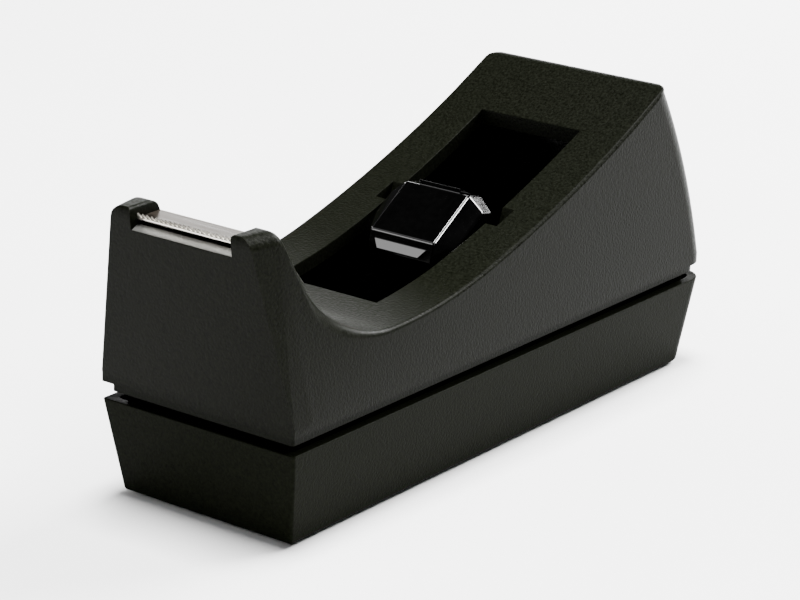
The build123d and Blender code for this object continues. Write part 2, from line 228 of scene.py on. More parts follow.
@dataclass(frozen=True)
class PolishedPlastic:
    """Polished black moulding with faint waviness."""

    name: str = "polished_black"
    dark: tuple[float, float, float] = (0.0001, 0.0001, 0.0001)
    light: tuple[float, float, float] = (0.0005, 0.0005, 0.0005)
    clouds: float = 700.0
    waves: float = 90.0
    octaves: float = 1.0
    relief: float = 0.02 * MM
    smooth: float = 0.05
    rough: float = 0.12

    def make(self) -> Material:
        """Builds the material.

        Returns:
            The new material.
        """
        graph = Graph(self.name)
        waves = graph.noise(self.waves, self.octaves)
        graph.tint(graph.noise(self.clouds), self.dark, self.light)
        graph.wire(graph.spread(waves, self.smooth, self.rough), graph.shader.inputs["Roughness"])
        graph.bump(waves, self.relief)
        return graph.material


@dataclass(frozen=True)
class LedgeReflectionPaint:
    """Smooth ledge with faint streaks, painted lighter than the mouldings round it: painted reflection
    of a soft lamp on its smooth face.
    """

    name: str = "ledge_painted_reflection"
    # dark and light: painted reflection of a soft lamp, far lighter than the charcoal mouldings.
    dark: tuple[float, float, float] = (0.03, 0.03, 0.028)
    light: tuple[float, float, float] = (0.045, 0.045, 0.041)
    streaks: float = 260.0
    stretch: tuple[float, float, float] = (0.3, 1.0, 1.0)
    grain: float = 1500.0
    relief: float = 0.01 * MM
    smooth: float = 0.30
    rough: float = 0.42

    def make(self) -> Material:
        """Builds the material.

        Returns:
            The new material.
        """
        graph = Graph(self.name)
        streaks = graph.noise(self.streaks, stretch=self.stretch)
        graph.tint(streaks, self.dark, self.light)
        graph.wire(graph.spread(streaks, self.smooth, self.rough), graph.shader.inputs["Roughness"])
        graph.bump(graph.noise(self.grain), self.relief)
        return graph.material


@dataclass(frozen=True)
class RolledSteel:
    """Rolled strip with fine lines along the blade and a warm tone."""

    name: str = "rolled_steel"
    dark: tuple[float, float, float] = (0.055, 0.044, 0.032)
    light: tuple[float, float, float] = (0.09, 0.074, 0.056)
    lines: float = 1400.0
    stretch: tuple[float, float, float] = (0.04, 1.0, 1.0)
    relief: float = 0.003 * MM
    smooth: float = 0.24
    rough: float = 0.42

    def make(self) -> Material:
        """Builds the material.

        Returns:
            The new material.
        """
        graph = Graph(self.name)
        lines = graph.noise(self.lines, stretch=self.stretch)
        graph.tint(lines, self.dark, self.light)
        graph.wire(graph.spread(lines, self.smooth, self.rough), graph.shader.inputs["Roughness"])
        graph.bump(lines, self.relief)
        graph.shader.inputs["Metallic"].default_value = 1.0
        return graph.material


@dataclass(frozen=True)
class PlatedSteel:
    """Dull zinc plating with a fine bloom."""

    name: str = "plated_steel"
    dark: tuple[float, float, float] = (0.42, 0.42, 0.43)
    light: tuple[float, float, float] = (0.58, 0.58, 0.60)
    bloom: float = 900.0
    relief: float = 0.008 * MM
    smooth: float = 0.28
    rough: float = 0.45

    def make(self) -> Material:
        """Builds the material.

        Returns:
            The new material.
        """
        graph = Graph(self.name)
        bloom = graph.noise(self.bloom)
        graph.tint(bloom, self.dark, self.light)
        graph.wire(graph.spread(bloom, self.smooth, self.rough), graph.shader.inputs["Roughness"])
        graph.bump(bloom, self.relief)
        graph.shader.inputs["Metallic"].default_value = 1.0
        return graph.material


@dataclass(frozen=True)
class SandCasting:
    """Rough dark casting skin with pits."""

    name: str = "cast_skin"
    dark: tuple[float, float, float] = (0.05, 0.048, 0.045)
    light: tuple[float, float, float] = (0.12, 0.115, 0.11)
    skin: float = 420.0
    octaves: float = 6.0
    relief: float = 0.25 * MM
    smooth: float = 0.55
    rough: float = 0.85
    metal: float = 0.6

    def make(self) -> Material:
        """Builds the material.

        Returns:
            The new material.
        """
        graph = Graph(self.name)
        skin = graph.noise(self.skin, self.octaves)
        graph.tint(skin, self.dark, self.light)
        graph.wire(graph.spread(skin, self.smooth, self.rough), graph.shader.inputs["Roughness"])
        graph.bump(skin, self.relief)
        graph.shader.inputs["Metallic"].default_value = self.metal
        return graph.material


@dataclass(frozen=True)
class CellRubber:
    """Soft dark sheet with small closed cells."""

    name: str = "cell_rubber"
    dark: tuple[float, float, float] = (0.010, 0.010, 0.010)
    light: tuple[float, float, float] = (0.026, 0.026, 0.025)
    pores: float = 1300.0
    relief: float = 0.12 * MM
    smooth: float = 0.75
    rough: float = 0.95

    def make(self) -> Material:
        """Builds the material.

        Returns:
            The new material.
        """
        graph = Graph(self.name)
        cells = graph.cells(self.pores)
        graph.tint(cells, self.dark, self.light)
        graph.wire(graph.spread(cells, self.rough, self.smooth), graph.shader.inputs["Roughness"])
        graph.bump(cells, self.relief)
        return graph.material


@dataclass(frozen=True)
class PaleFloor:
    """Plain pale surface that the object stands on."""

    name: str = "pale_floor"
    dark: tuple[float, float, float] = (0.80, 0.80, 0.80)
    light: tuple[float, float, float] = (0.84, 0.84, 0.84)
    clouds: float = 6.0
    rough: float = 0.9

    def make(self) -> Material:
        """Builds the material.

        Returns:
            The new material.
        """
        graph = Graph(self.name)
        graph.tint(graph.noise(self.clouds), self.dark, self.light)
        graph.shader.inputs["Roughness"].default_value = self.rough
        return graph.material


# ---------------------------------------------------------------- mesh bench
class Bench:
    """Shared steps that turn bmesh work into finished pieces."""

    MERGE: float = 1e-5
    SMOOTH_LIMIT: float = 32.0
    NORMAL_WEIGHT: int = 80

    @staticmethod
    def piece(name: str, bm: BMesh, scale: float = MM) -> Object:
        """Makes an object from a bmesh that was drawn in millimetres.

        Args:
            name: name of the object and its mesh.
            bm: the bmesh, freed here.
            scale: metres per drawn unit.

        Returns:
            The linked object, at the origin.
        """
        bmesh.ops.remove_doubles(bm, verts=bm.verts, dist=Bench.MERGE)
        bmesh.ops.recalc_face_normals(bm, faces=bm.faces)
        bmesh.ops.scale(bm, vec=(scale,) * 3, verts=bm.verts)
        mesh = bpy.data.meshes.new(name)
        bm.to_mesh(mesh)
        bm.free()
        made = bpy.data.objects.new(name, mesh)
        bpy.context.scene.collection.objects.link(made)
        return made

    @staticmethod
    def settle(obj: Object) -> None:
        """Applies all of an object's modifiers to its mesh.

        Args:
            obj: the piece, whose modifiers are used up.
        """
        graph = bpy.context.evaluated_depsgraph_get()
        done = bpy.data.meshes.new_from_object(obj.evaluated_get(graph))
        done.name = obj.name
        obj.modifiers.clear()
        obj.data = done

    @staticmethod
    def combine(obj: Object, other: Object, way: Way) -> None:
        """Joins another closed shape to a piece or cuts the piece with it, which uses that shape up.

        Args:
            obj: the piece that changes.
            other: the tool shape.
            way: whether it is joined or cut.
        """
        step = obj.modifiers.new("cut", "BOOLEAN")
        step.operation = way.value
        step.solver = "EXACT"
        step.object = other
        Bench.settle(obj)
        bpy.data.objects.remove(other)

    @staticmethod
    def edit(obj: Object, work: Callable[[BMesh], None]) -> None:
        """Runs one bmesh step on a piece's mesh, in metres.

        Args:
            obj: the piece.
            work: the step, which changes the bmesh that it is given.
        """
        bm = bmesh.new()
        bm.from_mesh(obj.data)
        work(bm)
        bm.to_mesh(obj.data)
        bm.free()

    @staticmethod
    def round_edges(bm: BMesh, edges: Iterable[BMEdge], radius: float, segments: int) -> None:
        """Rounds edges of a bmesh by a radius."""
        bmesh.ops.bevel(bm, geom=list(edges), offset=radius, offset_type="OFFSET", segments=segments,
                        profile=0.5, affect="EDGES", material=-1, clamp_overlap=True)

    @staticmethod
    def sharp(bm: BMesh, degrees: float) -> list[BMEdge]:
        """Edges of a bmesh whose faces meet at more than an angle."""
        limit = math.radians(degrees)
        return [edge for edge in bm.edges if edge.is_manifold and edge.calc_face_angle(0) > limit]

    @staticmethod
    def chain(bm: BMesh, points: Sequence[Vector]) -> list[BMVert]:
        """Adds a run of joined vertices to a bmesh.

        Args:
            bm: the bmesh.
            points: where the vertices go.

        Returns:
            The vertices in order.
        """
        verts = [bm.verts.new(point) for point in points]
        for first, last in zip(verts, verts[1:]):
            bm.edges.new((first, last))
        return verts

    @staticmethod
    def links(verts: Sequence[BMVert]) -> list[BMEdge]:
        """Edges that join a run of vertices."""
        pairs = zip(verts, verts[1:])
        return [edge for first, last in pairs for edge in first.link_edges if last in edge.verts]

    @staticmethod
    def prism(outline: Sequence[Vector], along: Vector) -> BMesh:
        """Closed bmesh of a flat outline pushed along a direction.

        Args:
            outline: the outline's points in order.
            along: how far and which way it is pushed.

        Returns:
            The new bmesh.
        """
        bm = bmesh.new()
        face = bm.faces.new([bm.verts.new(point) for point in outline])
        grown = bmesh.ops.extrude_face_region(bm, geom=[face])
        moved = [item for item in grown["geom"] if isinstance(item, BMVert)]
        bmesh.ops.translate(bm, vec=along, verts=moved)
        return bm

    @staticmethod
    def tower(loops: Sequence[Sequence[Vector]]) -> BMesh:
        """Closed bmesh skinned over a stack of outlines that have as many points each.

        Args:
            loops: the outlines, from one end to the other.

        Returns:
            The new bmesh, capped at both ends.
        """
        bm = bmesh.new()
        rings = []
        for loop in loops:
            verts = [bm.verts.new(point) for point in loop]
            rings.append([bm.edges.new((verts[i - 1], verts[i])) for i in range(len(verts))])
        for low, high in zip(rings, rings[1:]):
            bmesh.ops.bridge_loops(bm, edges=low + high)
        bmesh.ops.holes_fill(bm, edges=rings[0] + rings[-1])
        return bm

    @staticmethod
    def block(low: Sequence[float], high: Sequence[float]) -> BMesh:
        """Closed box between two corners, to be cut or rounded further.

        Args:
            low: its lowest corner.
            high: its highest corner.

        Returns:
            The new bmesh.
        """
        bm = bmesh.new()
        bmesh.ops.create_cube(bm, size=1.0)
        size = [b - a for a, b in zip(low, high)]
        middle = [(a + b) / 2 for a, b in zip(low, high)]
        bmesh.ops.scale(bm, vec=size, verts=bm.verts)
        bmesh.ops.translate(bm, vec=middle, verts=bm.verts)
        return bm

    @staticmethod
    def dress(obj: Object, material: Material, slot: Slot, body: Body,
              nodes: Sequence[str]) -> Object:
        """Finishes a new piece: smooth shading, material, body and the nodes that it stands for.

        Args:
            obj: the piece.
            material: its finish.
            slot: not used.
            body: the body it rides on.
            nodes: nodes that it replaces.

        Returns:
            The same piece.
        """
        obj.data.materials.clear()
        obj.data.materials.append(material)
        for polygon in obj.data.polygons:
            polygon.use_smooth = True
        obj.data.set_sharp_from_angle(angle=math.radians(Bench.SMOOTH_LIMIT))
        even = obj.modifiers.new("even_normals", "WEIGHTED_NORMAL")
        even.keep_sharp = True
        even.weight = Bench.NORMAL_WEIGHT
        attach(obj, body.value)
        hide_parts(*nodes)
        LOG.info("%s: %d faces, for %s", obj.name, len(obj.data.polygons), ", ".join(nodes))
        return obj


# ---------------------------------------------------------------- shared form
@dataclass(frozen=True)
class Plan:
    """Rim of the base in plan and the levels stacked on it, in millimetres."""

    rim_length: float = 149.999
    rim_width: float = 51.0
    rim_front: float = -72.568
    foot_level: float = 0.6
    rim_level: float = 21.2
    band_level: float = 22.6
    lip_level: float = 24.8
    wall_level: float = 27.0
    front_radius: float = 0.6
    rear_radius: float = 5.5
    corner_steps: int = 8
    axle: tuple[float, float] = (78.5, 40.2)

    @property
    def half(self) -> float:
        """Half of the rim's width."""
        return self.rim_width / 2

    @property
    def rim_rear(self) -> float:
        """Y of the rim's rear edge."""
        return self.rim_front + self.rim_length

    def at(self, run: float) -> float:
        """Y of a distance behind the rim's front edge."""
        return self.rim_front + run

    def axle_at(self, x: float) -> Vector:
        """Point of the seated axle's centre line."""
        return Vector((x, self.at(self.axle[0]), self.axle[1]))

    def outline(self, inset: float, level: float, rear_radius: float | None = None,
                front_radius: float | None = None) -> list[Vector]:
        """Rounded outline of the rim, moved in by an inset.

        Args:
            inset: how far in from the rim.
            level: height of the outline.
            rear_radius: radius of its rear corners, if not the rim's less the inset.
            front_radius: radius of its front corners, if not the rim's.

        Returns:
            Points in order, counter-clockwise seen from above.
        """
        rear = max(self.rear_radius - inset, self.front_radius) if rear_radius is None else rear_radius
        front = self.front_radius if front_radius is None else front_radius
        half = self.half - inset
        low = self.rim_front + inset
        high = self.rim_rear - inset
        corners = [(half, low, -1, 1, front, -90), (half, high, -1, -1, rear, 0),
                   (-half, high, 1, -1, rear, 90), (-half, low, 1, 1, front, 180)]
        points = []
        for x, y, way_x, way_y, radius, start in corners:
            centre = Vector((x + way_x * radius, y + way_y * radius, level))
            for step in range(self.corner_steps + 1):
                angle = math.radians(start + 90 * step / self.corner_steps)
                points.append(centre + radius * Vector((math.cos(angle), math.sin(angle), 0)))
        return points


@dataclass(frozen=True)
class SideOutline:
    """Side outline of the housing: leaning front, post, valley, rising deck and bowed rear."""

    plan: Plan = field(default_factory=Plan)
    lean: float = 7.2
    post_level: float = 65.4
    crest_run: float = 1.6
    crown_steps: int = 8
    shoulder: tuple[float, float] = (3.97, 63.9)
    back: tuple[float, float] = (8.34, 54.5)
    arcs: tuple[tuple[float, float, int], ...] = ((20.5, 42.1, 14), (32.5, 39.4, 8),
                                                  (64.0, 43.85, 12), (132.8, 70.6, 14))
    last_gap: float = 12.0
    rear_bulge: float = 2.0
    rear_steps: int = 12
    front_draft: float = 11.4
    side_draft: float = 1.2
    taper_run: float = 53.0
    roof: float = 76.4
    search_steps: int = 40

    def front_at(self, level: float) -> float:
        """Y of the leaning front face at a height."""
        climb = level - self.plan.wall_level
        return self.plan.rim_front - climb * math.tan(math.radians(self.lean))

    @staticmethod
    def arc(start: Vector, heading: float, end: Vector, steps: int) -> tuple[list[Vector], float]:
        """Arc that leaves a point along a heading and ends at another.

        Args:
            start: first point, as run and height.
            heading: angle of its first tangent.
            end: last point.
            steps: how many points it gives.

        Returns:
            The points after the first, and the last tangent's angle.
        """
        chord = end - start
        turn = 2 * (math.atan2(chord.y, chord.x) - heading)
        radius = chord.length / (2 * math.sin(turn / 2))
        points = []
        for step in range(1, steps + 1):
            angle = heading + turn * step / steps
            points.append(start + radius * Vector((math.sin(angle) - math.sin(heading),
                                                   math.cos(heading) - math.cos(angle))))
        return points, heading + turn

    def deck(self) -> list[Vector]:
        """Stations along the top, from the front edge to the ridge.

        Each arc leaves along the last tangent of the arc before it, so a change of the crest or the
        shoulder also bends the valley.

        Returns:
            Points as run and height.
        """
        points = [Vector((self.front_at(self.post_level) - self.plan.rim_front, self.post_level)),
                  Vector((self.crest_run, self.post_level))]
        crown, heading = self.arc(points[-1], 0.0, Vector(self.shoulder), self.crown_steps)
        points += crown
        points += [Vector(self.shoulder).lerp(Vector(self.back), 0.5), Vector(self.back)]
        for run, height, steps in self.arcs:
            stretch, heading = self.arc(points[-1], heading, Vector((run, height)), steps)
            points += stretch
        ridge = points[-1]
        return [point for point in points if point.x < ridge.x - self.last_gap] + [ridge]

    def rear(self) -> list[Vector]:
        """Stations down the bowed rear wall, below the ridge.

        Returns:
            Points as run and height.
        """
        ridge = self.deck()[-1]
        foot = Vector((self.plan.rim_length, self.plan.wall_level))
        middle = (ridge + foot) / 2 + Vector((self.rear_bulge, 0))
        chord = foot - ridge
        normal = Vector((-chord.y, chord.x)).normalized()
        bow = (middle - (ridge + foot) / 2).dot(normal)
        radius = (chord.length_squared / 4 + bow * bow) / (2 * bow)
        half_turn = math.asin(chord.length / (2 * radius))
        start = math.atan2(chord.y, chord.x) + half_turn
        points, _ = self.arc(ridge, start, foot, self.rear_steps)
        return points

    def half_width(self, run: float, level: float) -> tuple[float, float]:
        """Half width of the housing at a place on its side, and the run of the foot below it.

        The side is ruled between the straight foot and a curve at the roof, so the ruling through the
        place is found first.

        Args:
            run: the place's distance behind the rim's front edge.
            level: its height.

        Returns:
            The half width, and the run at the foot of the same ruling.
        """
        narrow = math.tan(math.radians(self.front_draft))
        wide = math.tan(math.radians(self.side_draft))
        if run >= self.taper_run:
            return self.plan.half - (level - self.plan.wall_level) * wide, run
        climb = self.roof - self.plan.wall_level
        share = (level - self.plan.wall_level) / climb
        nose = self.front_at(self.roof) - self.plan.rim_front
        low, high = 0.0, 1.0
        for _ in range(self.search_steps):
            middle = (low + high) / 2
            roof_run = (1 - middle) ** 2 * nose + middle * self.taper_run
            place = (1 - share) * middle * self.taper_run + share * roof_run
            if place < run:
                low = middle
            else:
                high = middle
        slope = (1 - low) ** 2 * narrow + (1 - (1 - low) ** 2) * wide
        return self.plan.half - share * climb * slope, low * self.taper_run


# ---------------------------------------------------------------- housing
@dataclass
class Housing:
    """Upper moulding with its posts, deck, opening, axle notches and the recessed band below.

    Each upper edge of the outer form is rounded by its own share of edge_radius.
    """

    outline: SideOutline
    edge_radius: float = 6.0
    corner_share: float = 1.0
    ridge_share: float = 0.5
    crease_share: float = 0.14
    post_share: float = 0.32
    throat_share: float = 0.62
    front_share: float = 0.11
    share_runs: tuple[float, float, float, float] = (0.0, 8.0, 14.0, 26.0)
    bevel_steps: int = 5
    deck_thickness: float = 3.1
    wall: float = 2.4
    root_level: float = 55.0
    root_run: float = 4.6
    band_inset: float = 1.5
    lip_radius: float = 0.15
    spigot_inset: float = 3.52
    spigot_wall: float = 1.8
    spigot_level: float = 15.6
    opening_half: float = 13.4
    opening_runs: tuple[float, float] = (41.0, 113.3)
    corner_cut: tuple[float, float] = (7.5, 5.6)
    opening_edge: float = 0.22
    opening_steps: int = 2
    rim_clearance: float = 3.35
    slot_radius: float = 2.6
    slot_half: float = 16.4
    slot_lean: float = 19.0
    slot_length: float = 40.0
    slot_steps: int = 12
    channel_half: float = 13.1
    post_inner: float = 0.9
    ledge_level: float = 60.75
    pocket: tuple[float, float, float] = (-1.9, 5.05, 59.0)
    weld: float = 0.0001
    near: float = 0.02
    straight: float = 0.02
    cut_angle: float = 35.0
    upward: float = 0.6

    def skin(self) -> Object:
        """Outer form, closed underneath, with every upper edge rounded by its own radius.

        Returns:
            The solid form as an object in metres.
        """
        plan = self.outline.plan
        deck = self.outline.deck()
        profile = [Vector((0, plan.wall_level))] + deck + self.outline.rear()
        ridge = len(deck)
        bm = bmesh.new()
        weights = bm.edges.layers.float.new("bevel_weight_edge")
        station = bm.verts.layers.int.new("station")
        upper, lower = [], []
        for i, point in enumerate(profile):
            half, foot_run = self.outline.half_width(point.x, point.y)
            upper.append(Vector((half, plan.at(point.x), point.y)))
            if 0 < i < ridge:
                lower.append(Vector((plan.half, plan.at(foot_run), plan.wall_level)))
        top = Bench.chain(bm, upper)
        for i, vert in enumerate(top):
            vert[station] = i
        foot = Bench.chain(bm, [upper[0]] + lower)
        bmesh.ops.bridge_loops(bm, edges=Bench.links(foot[1:]) + Bench.links(top[1:ridge]))
        bmesh.ops.contextual_create(bm, geom=[foot[0], foot[1], top[1]])
        bmesh.ops.remove_doubles(bm, verts=[foot[0], top[0]], dist=self.weld)
        bm.edges.new((foot[-1], top[-1]))
        bmesh.ops.contextual_create(bm, geom=[foot[-1]] + top[ridge - 1:])
        bmesh.ops.mirror(bm, geom=bm.verts[:] + bm.edges[:] + bm.faces[:], axis="X", merge_dist=-1.0)
        rims = [edge for edge in bm.edges if edge.is_boundary]
        chains = [edge for edge in rims if abs(edge.verts[0][station] - edge.verts[1][station]) == 1]
        bmesh.ops.bridge_loops(bm, edges=chains)
        bmesh.ops.holes_fill(bm, edges=[e for e in bm.edges if e.is_boundary])
        bmesh.ops.recalc_face_normals(bm, faces=bm.faces)
        for edge in bm.edges:
            first, last = sorted(vert[station] for vert in edge.verts)
            across = edge.verts[0].co.x * edge.verts[1].co.x < 0
            if across and first == last:
                edge[weights] = {1: self.front_share, ridge: self.ridge_share}.get(first, 0.0)
            elif not across and last - first == 1 and abs(edge.verts[0].co.x) < plan.half:
                edge[weights] = self.side_share(first, ridge, profile)
        form = Bench.piece("housing", bm)
        rounding = form.modifiers.new("rounding", "BEVEL")
        rounding.limit_method = "WEIGHT"
        rounding.width = self.edge_radius * MM
        rounding.segments = self.bevel_steps
        rounding.profile = 0.5
        rounding.use_clamp_overlap = False
        rounding.miter_outer = "MITER_SHARP"
        Bench.settle(form)
        return form

    def side_share(self, start: int, ridge: int, profile: Sequence[Vector]) -> float:
        """Share of the largest radius on a stretch of side edge.

        Args:
            start: the station that it starts at.
            ridge: the ridge's station.
            profile: all stations, as run and height.

        Returns:
            The share, from 0 to 1.
        """
        if start == 0:
            return self.front_share
        return self.corner_share if start >= ridge else self.crease_weight(profile[start + 1].x)

    def crease_weight(self, run: float) -> float:
        """Share of the largest radius on the side edge of the posts and the deck.

        Args:
            run: distance behind the rim's front edge.

        Returns:
            The share, from 0 to 1.
        """
        shares = (self.post_share, self.throat_share, self.throat_share, self.crease_share)
        stops = list(zip(self.share_runs, shares))
        for (start, low), (end, high) in zip(stops, stops[1:]):
            if run <= end:
                return low + (high - low) * max(0.0, run - start) / (end - start)
        return self.crease_share

    def inward(self, corner: Sequence[Vector], depths: Sequence[float]) -> Vector:
        """Corner of a side outline moved in by the depth of each of its two sides.

        Known fault: the slide has the wrong sign. It hardly moves a corner with a slight turn, but at
        the ridge it sets the cavity's corner outside the rear wall, which leaves a slit there.

        Args:
            corner: the point before, the corner and the point after.
            depths: how far in the first and the second side go.

        Returns:
            The moved corner.
        """
        first = (corner[1] - corner[0]).normalized()
        last = (corner[2] - corner[1]).normalized()
        turn = first.x * last.y - first.y * last.x
        normal = Vector((first.y, -first.x))
        if abs(turn) < self.straight:
            return corner[1] + normal * depths[0]
        slide = (depths[0] * (first.x * last.x + first.y * last.y) - depths[1]) / turn
        return corner[1] + normal * depths[0] + first * slide

    def cavity(self) -> Object:
        """Space inside the shell, a wall's thickness in from the outer form.

        Returns:
            The cutter.
        """
        plan = self.outline.plan
        low = plan.wall_level - self.wall
        root_front = self.outline.front_at(self.root_level) - plan.rim_front + self.wall
        deck = self.outline.deck()
        line = [point for point in deck if point.x >= self.outline.back[0]]
        depths = [self.deck_thickness] * (len(line) - 1) + [self.wall] * self.outline.rear_steps
        line += self.outline.rear()
        points = [Vector((self.wall, low)), Vector((self.wall, plan.wall_level)),
                  Vector((root_front, self.root_level)), Vector((self.root_run, self.root_level))]
        for i in range(1, len(line) - 1):
            points.append(self.inward(line[i - 1:i + 2], depths[i - 1:i + 1]))
        points.append(Vector((plan.rim_length - self.wall, plan.wall_level)))
        points.append(Vector((plan.rim_length - self.wall, low)))
        loops = []
        for side in (-1, 1):
            loop = []
            for point in points:
                half, _ = self.outline.half_width(max(point.x, 0), max(point.y, plan.wall_level))
                loop.append(Vector((side * (half - self.wall), plan.at(point.x), point.y)))
            loops.append(loop)
        return Bench.piece("cavity", Bench.tower(loops))

    def opening(self) -> Object:
        """Upright cutter of the deck's opening, with its front left corner cut as in the well below.

        Returns:
            The cutter.
        """
        plan = self.outline.plan
        half, (cut_x, cut_y) = self.opening_half, self.corner_cut
        front, rear = (plan.at(run) for run in self.opening_runs)
        corners = [(half, front), (half, rear), (-half, rear),
                   (-half, front + cut_y), (cut_x - half, front)]
        low, high = plan.wall_level - self.wall, self.outline.roof
        points = [Vector((x, y, low)) for x, y in corners]
        return Bench.piece("opening", Bench.prism(points, Vector((0, 0, high - low))))

    def slot_outline(self, radius: float, x: float) -> list[Vector]:
        """Round-ended slot across the axle, leaning along the axle's way out.

        Args:
            radius: radius of its seat, and half of its width.
            x: where it stands along the axle.

        Returns:
            Its points in order.
        """
        seat = self.outline.plan.axle_at(x)
        turn = Matrix.Rotation(-math.radians(self.slot_lean), 3, "X")
        steps = self.slot_steps
        turns = [math.radians(180 + 180 * step / steps) for step in range(steps + 1)]
        points = [Vector((0, radius * math.cos(angle), radius * math.sin(angle))) for angle in turns]
        points += [Vector((0, radius, self.slot_length)), Vector((0, -radius, self.slot_length))]
        return [seat + turn @ point for point in points]

    def slots(self) -> Object:
        """Cutter of both axle notches."""
        outline = self.slot_outline(self.slot_radius, -self.slot_half)
        return Bench.piece("slots", Bench.prism(outline, Vector((2 * self.slot_half, 0, 0))))

    def channel(self) -> Object:
        """Cutter between the posts, with the pocket that holds the blade's seat.

        Returns:
            The cutter.
        """
        plan = self.outline.plan
        front, rear, low = self.pocket
        ahead = self.outline.front_at(self.ledge_level) - self.wall
        outline = [(ahead, self.ledge_level), (plan.at(front), self.ledge_level), (plan.at(front), low),
                   (plan.at(rear), low), (plan.at(rear), self.outline.roof), (ahead, self.outline.roof)]
        points = [Vector((-self.channel_half, y, z)) for y, z in outline]
        return Bench.piece("channel", Bench.prism(points, Vector((2 * self.channel_half, 0, 0))))

    def flare(self) -> Object:
        """Cutter that rounds the inner top edges of both posts.

        Returns:
            The cutter.
        """
        plan = self.outline.plan
        top = self.outline.post_level
        steps = self.bevel_steps
        turns = [math.radians(90 * step / steps) for step in range(steps + 1)]
        side = [(self.channel_half + self.post_inner * (1 - math.cos(turn)),
                 top - self.post_inner * (1 - math.sin(turn))) for turn in turns]
        side.append((side[-1][0], self.outline.roof))
        front = self.outline.front_at(self.outline.roof) - self.wall
        outline = side + [(-x, z) for x, z in reversed(side)]
        points = [Vector((x, front, z)) for x, z in outline]
        along = Vector((0, plan.at(self.pocket[1]) - front, 0))
        return Bench.piece("flare", Bench.prism(points, along))

    def skirt(self, form: Object) -> None:
        """Adds the lip, the recessed band and the spigot that enters the pan.

        Args:
            form: the solid form, which is changed.
        """
        plan = self.outline.plan
        inner = self.spigot_inset + self.spigot_wall
        layers = [("lip", 0.0, plan.lip_level, plan.wall_level, Way.JOIN),
                  ("band", self.band_inset, plan.band_level, plan.wall_level, Way.JOIN),
                  ("spigot", self.spigot_inset, self.spigot_level, plan.band_level + self.band_inset,
                   Way.JOIN),
                  ("bore", inner, self.spigot_level - self.wall, plan.wall_level + self.wall,
                   Way.CUT)]
        for name, inset, low, high, way in layers:
            rear, front = (self.edge_radius, self.lip_radius) if inset == 0 else (None, None)
            loops = [plan.outline(inset, level, rear, front) for level in (low, high)]
            tool = Bench.piece(name, Bench.tower(loops))
            Bench.combine(form, tool, way)

    def soften_cuts(self, bm: BMesh) -> None:
        """Breaks the sharp upper edges that the cutters leave round the deck's opening.

        Args:
            bm: bmesh of the housing, in metres.
        """
        plan = self.outline.plan
        near = self.near * MM
        front, rear = (plan.at(run) * MM for run in self.opening_runs)
        half = self.slot_half * MM + near
        lowest = (plan.wall_level + self.rim_clearance) * MM
        rim = []
        for edge in Bench.sharp(bm, self.cut_angle):
            middle = (edge.verts[0].co + edge.verts[1].co) / 2
            inside = abs(middle.x) < half and front - near < middle.y < rear + near
            upward = [face for face in edge.link_faces if face.normal.z > self.upward]
            if inside and middle.z > lowest and len(upward) == 1:
                rim.append(edge)
        Bench.round_edges(bm, rim, self.opening_edge * MM, self.opening_steps)

    def build(self, material: Material) -> Object:
        """Builds and dresses the moulding.

        Args:
            material: its finish.

        Returns:
            The finished piece.
        """
        form = self.skin()
        self.skirt(form)
        Bench.combine(form, self.cavity(), Way.CUT)
        Bench.combine(form, self.opening(), Way.CUT)
        Bench.combine(form, self.slots(), Way.CUT)
        Bench.combine(form, self.channel(), Way.CUT)
        Bench.combine(form, self.flare(), Way.CUT)
        Bench.edit(form, self.soften_cuts)
        return Bench.dress(form, material, Slot.HOUSING, Body.ROOT, ["housing_shell"])


# ---------------------------------------------------------------- base pan
@dataclass
class BasePan:
    """Tapered tray under the housing.

    Its rim falls inwards by slope, and its foot rises inwards by slope.
    """

    plan: Plan
    taper: float = 3.0
    wall: float = 2.4
    floor: float = 2.6
    foot_radius: float = 5.0
    bottom_edge: float = 0.8
    bottom_steps: int = 4
    rim_edge: float = 0.35
    rim_steps: int = 3
    turn_angle: float = 40.0
    near: float = 0.001
    recess: float = 1.0
    slope: float = 0.12
    margin: float = 2.0

    def build(self, material: Material) -> Object:
        """Builds and dresses the tray.

        Args:
            material: its finish.

        Returns:
            The finished piece.
        """
        plan = self.plan
        lift = self.taper * self.floor / (plan.rim_level - plan.foot_level)
        floor_level = plan.foot_level + self.floor
        loops = [plan.outline(self.taper + self.margin, plan.foot_level + self.recess),
                 plan.outline(self.taper + self.margin, plan.foot_level + self.slope),
                 plan.outline(self.taper, plan.foot_level, self.foot_radius),
                 plan.outline(0, plan.rim_level),
                 plan.outline(self.wall, plan.rim_level - self.slope),
                 plan.outline(self.taper - lift + self.wall, floor_level)]
        bm = Bench.tower(loops)
        bmesh.ops.recalc_face_normals(bm, faces=bm.faces)
        below, above = plan.foot_level + self.near, plan.rim_level - 2 * self.slope
        edges = Bench.sharp(bm, self.turn_angle)
        bottom = [edge for edge in edges if all(vert.co.z < below for vert in edge.verts)]
        Bench.round_edges(bm, bottom, self.bottom_edge, self.bottom_steps)
        edges = Bench.sharp(bm, self.turn_angle)
        rim = [edge for edge in edges if all(vert.co.z > above for vert in edge.verts)]
        Bench.round_edges(bm, rim, self.rim_edge, self.rim_steps)
        base = Bench.piece("base", bm)
        return Bench.dress(base, material, Slot.HOUSING, Body.ROOT, ["base_pan"])


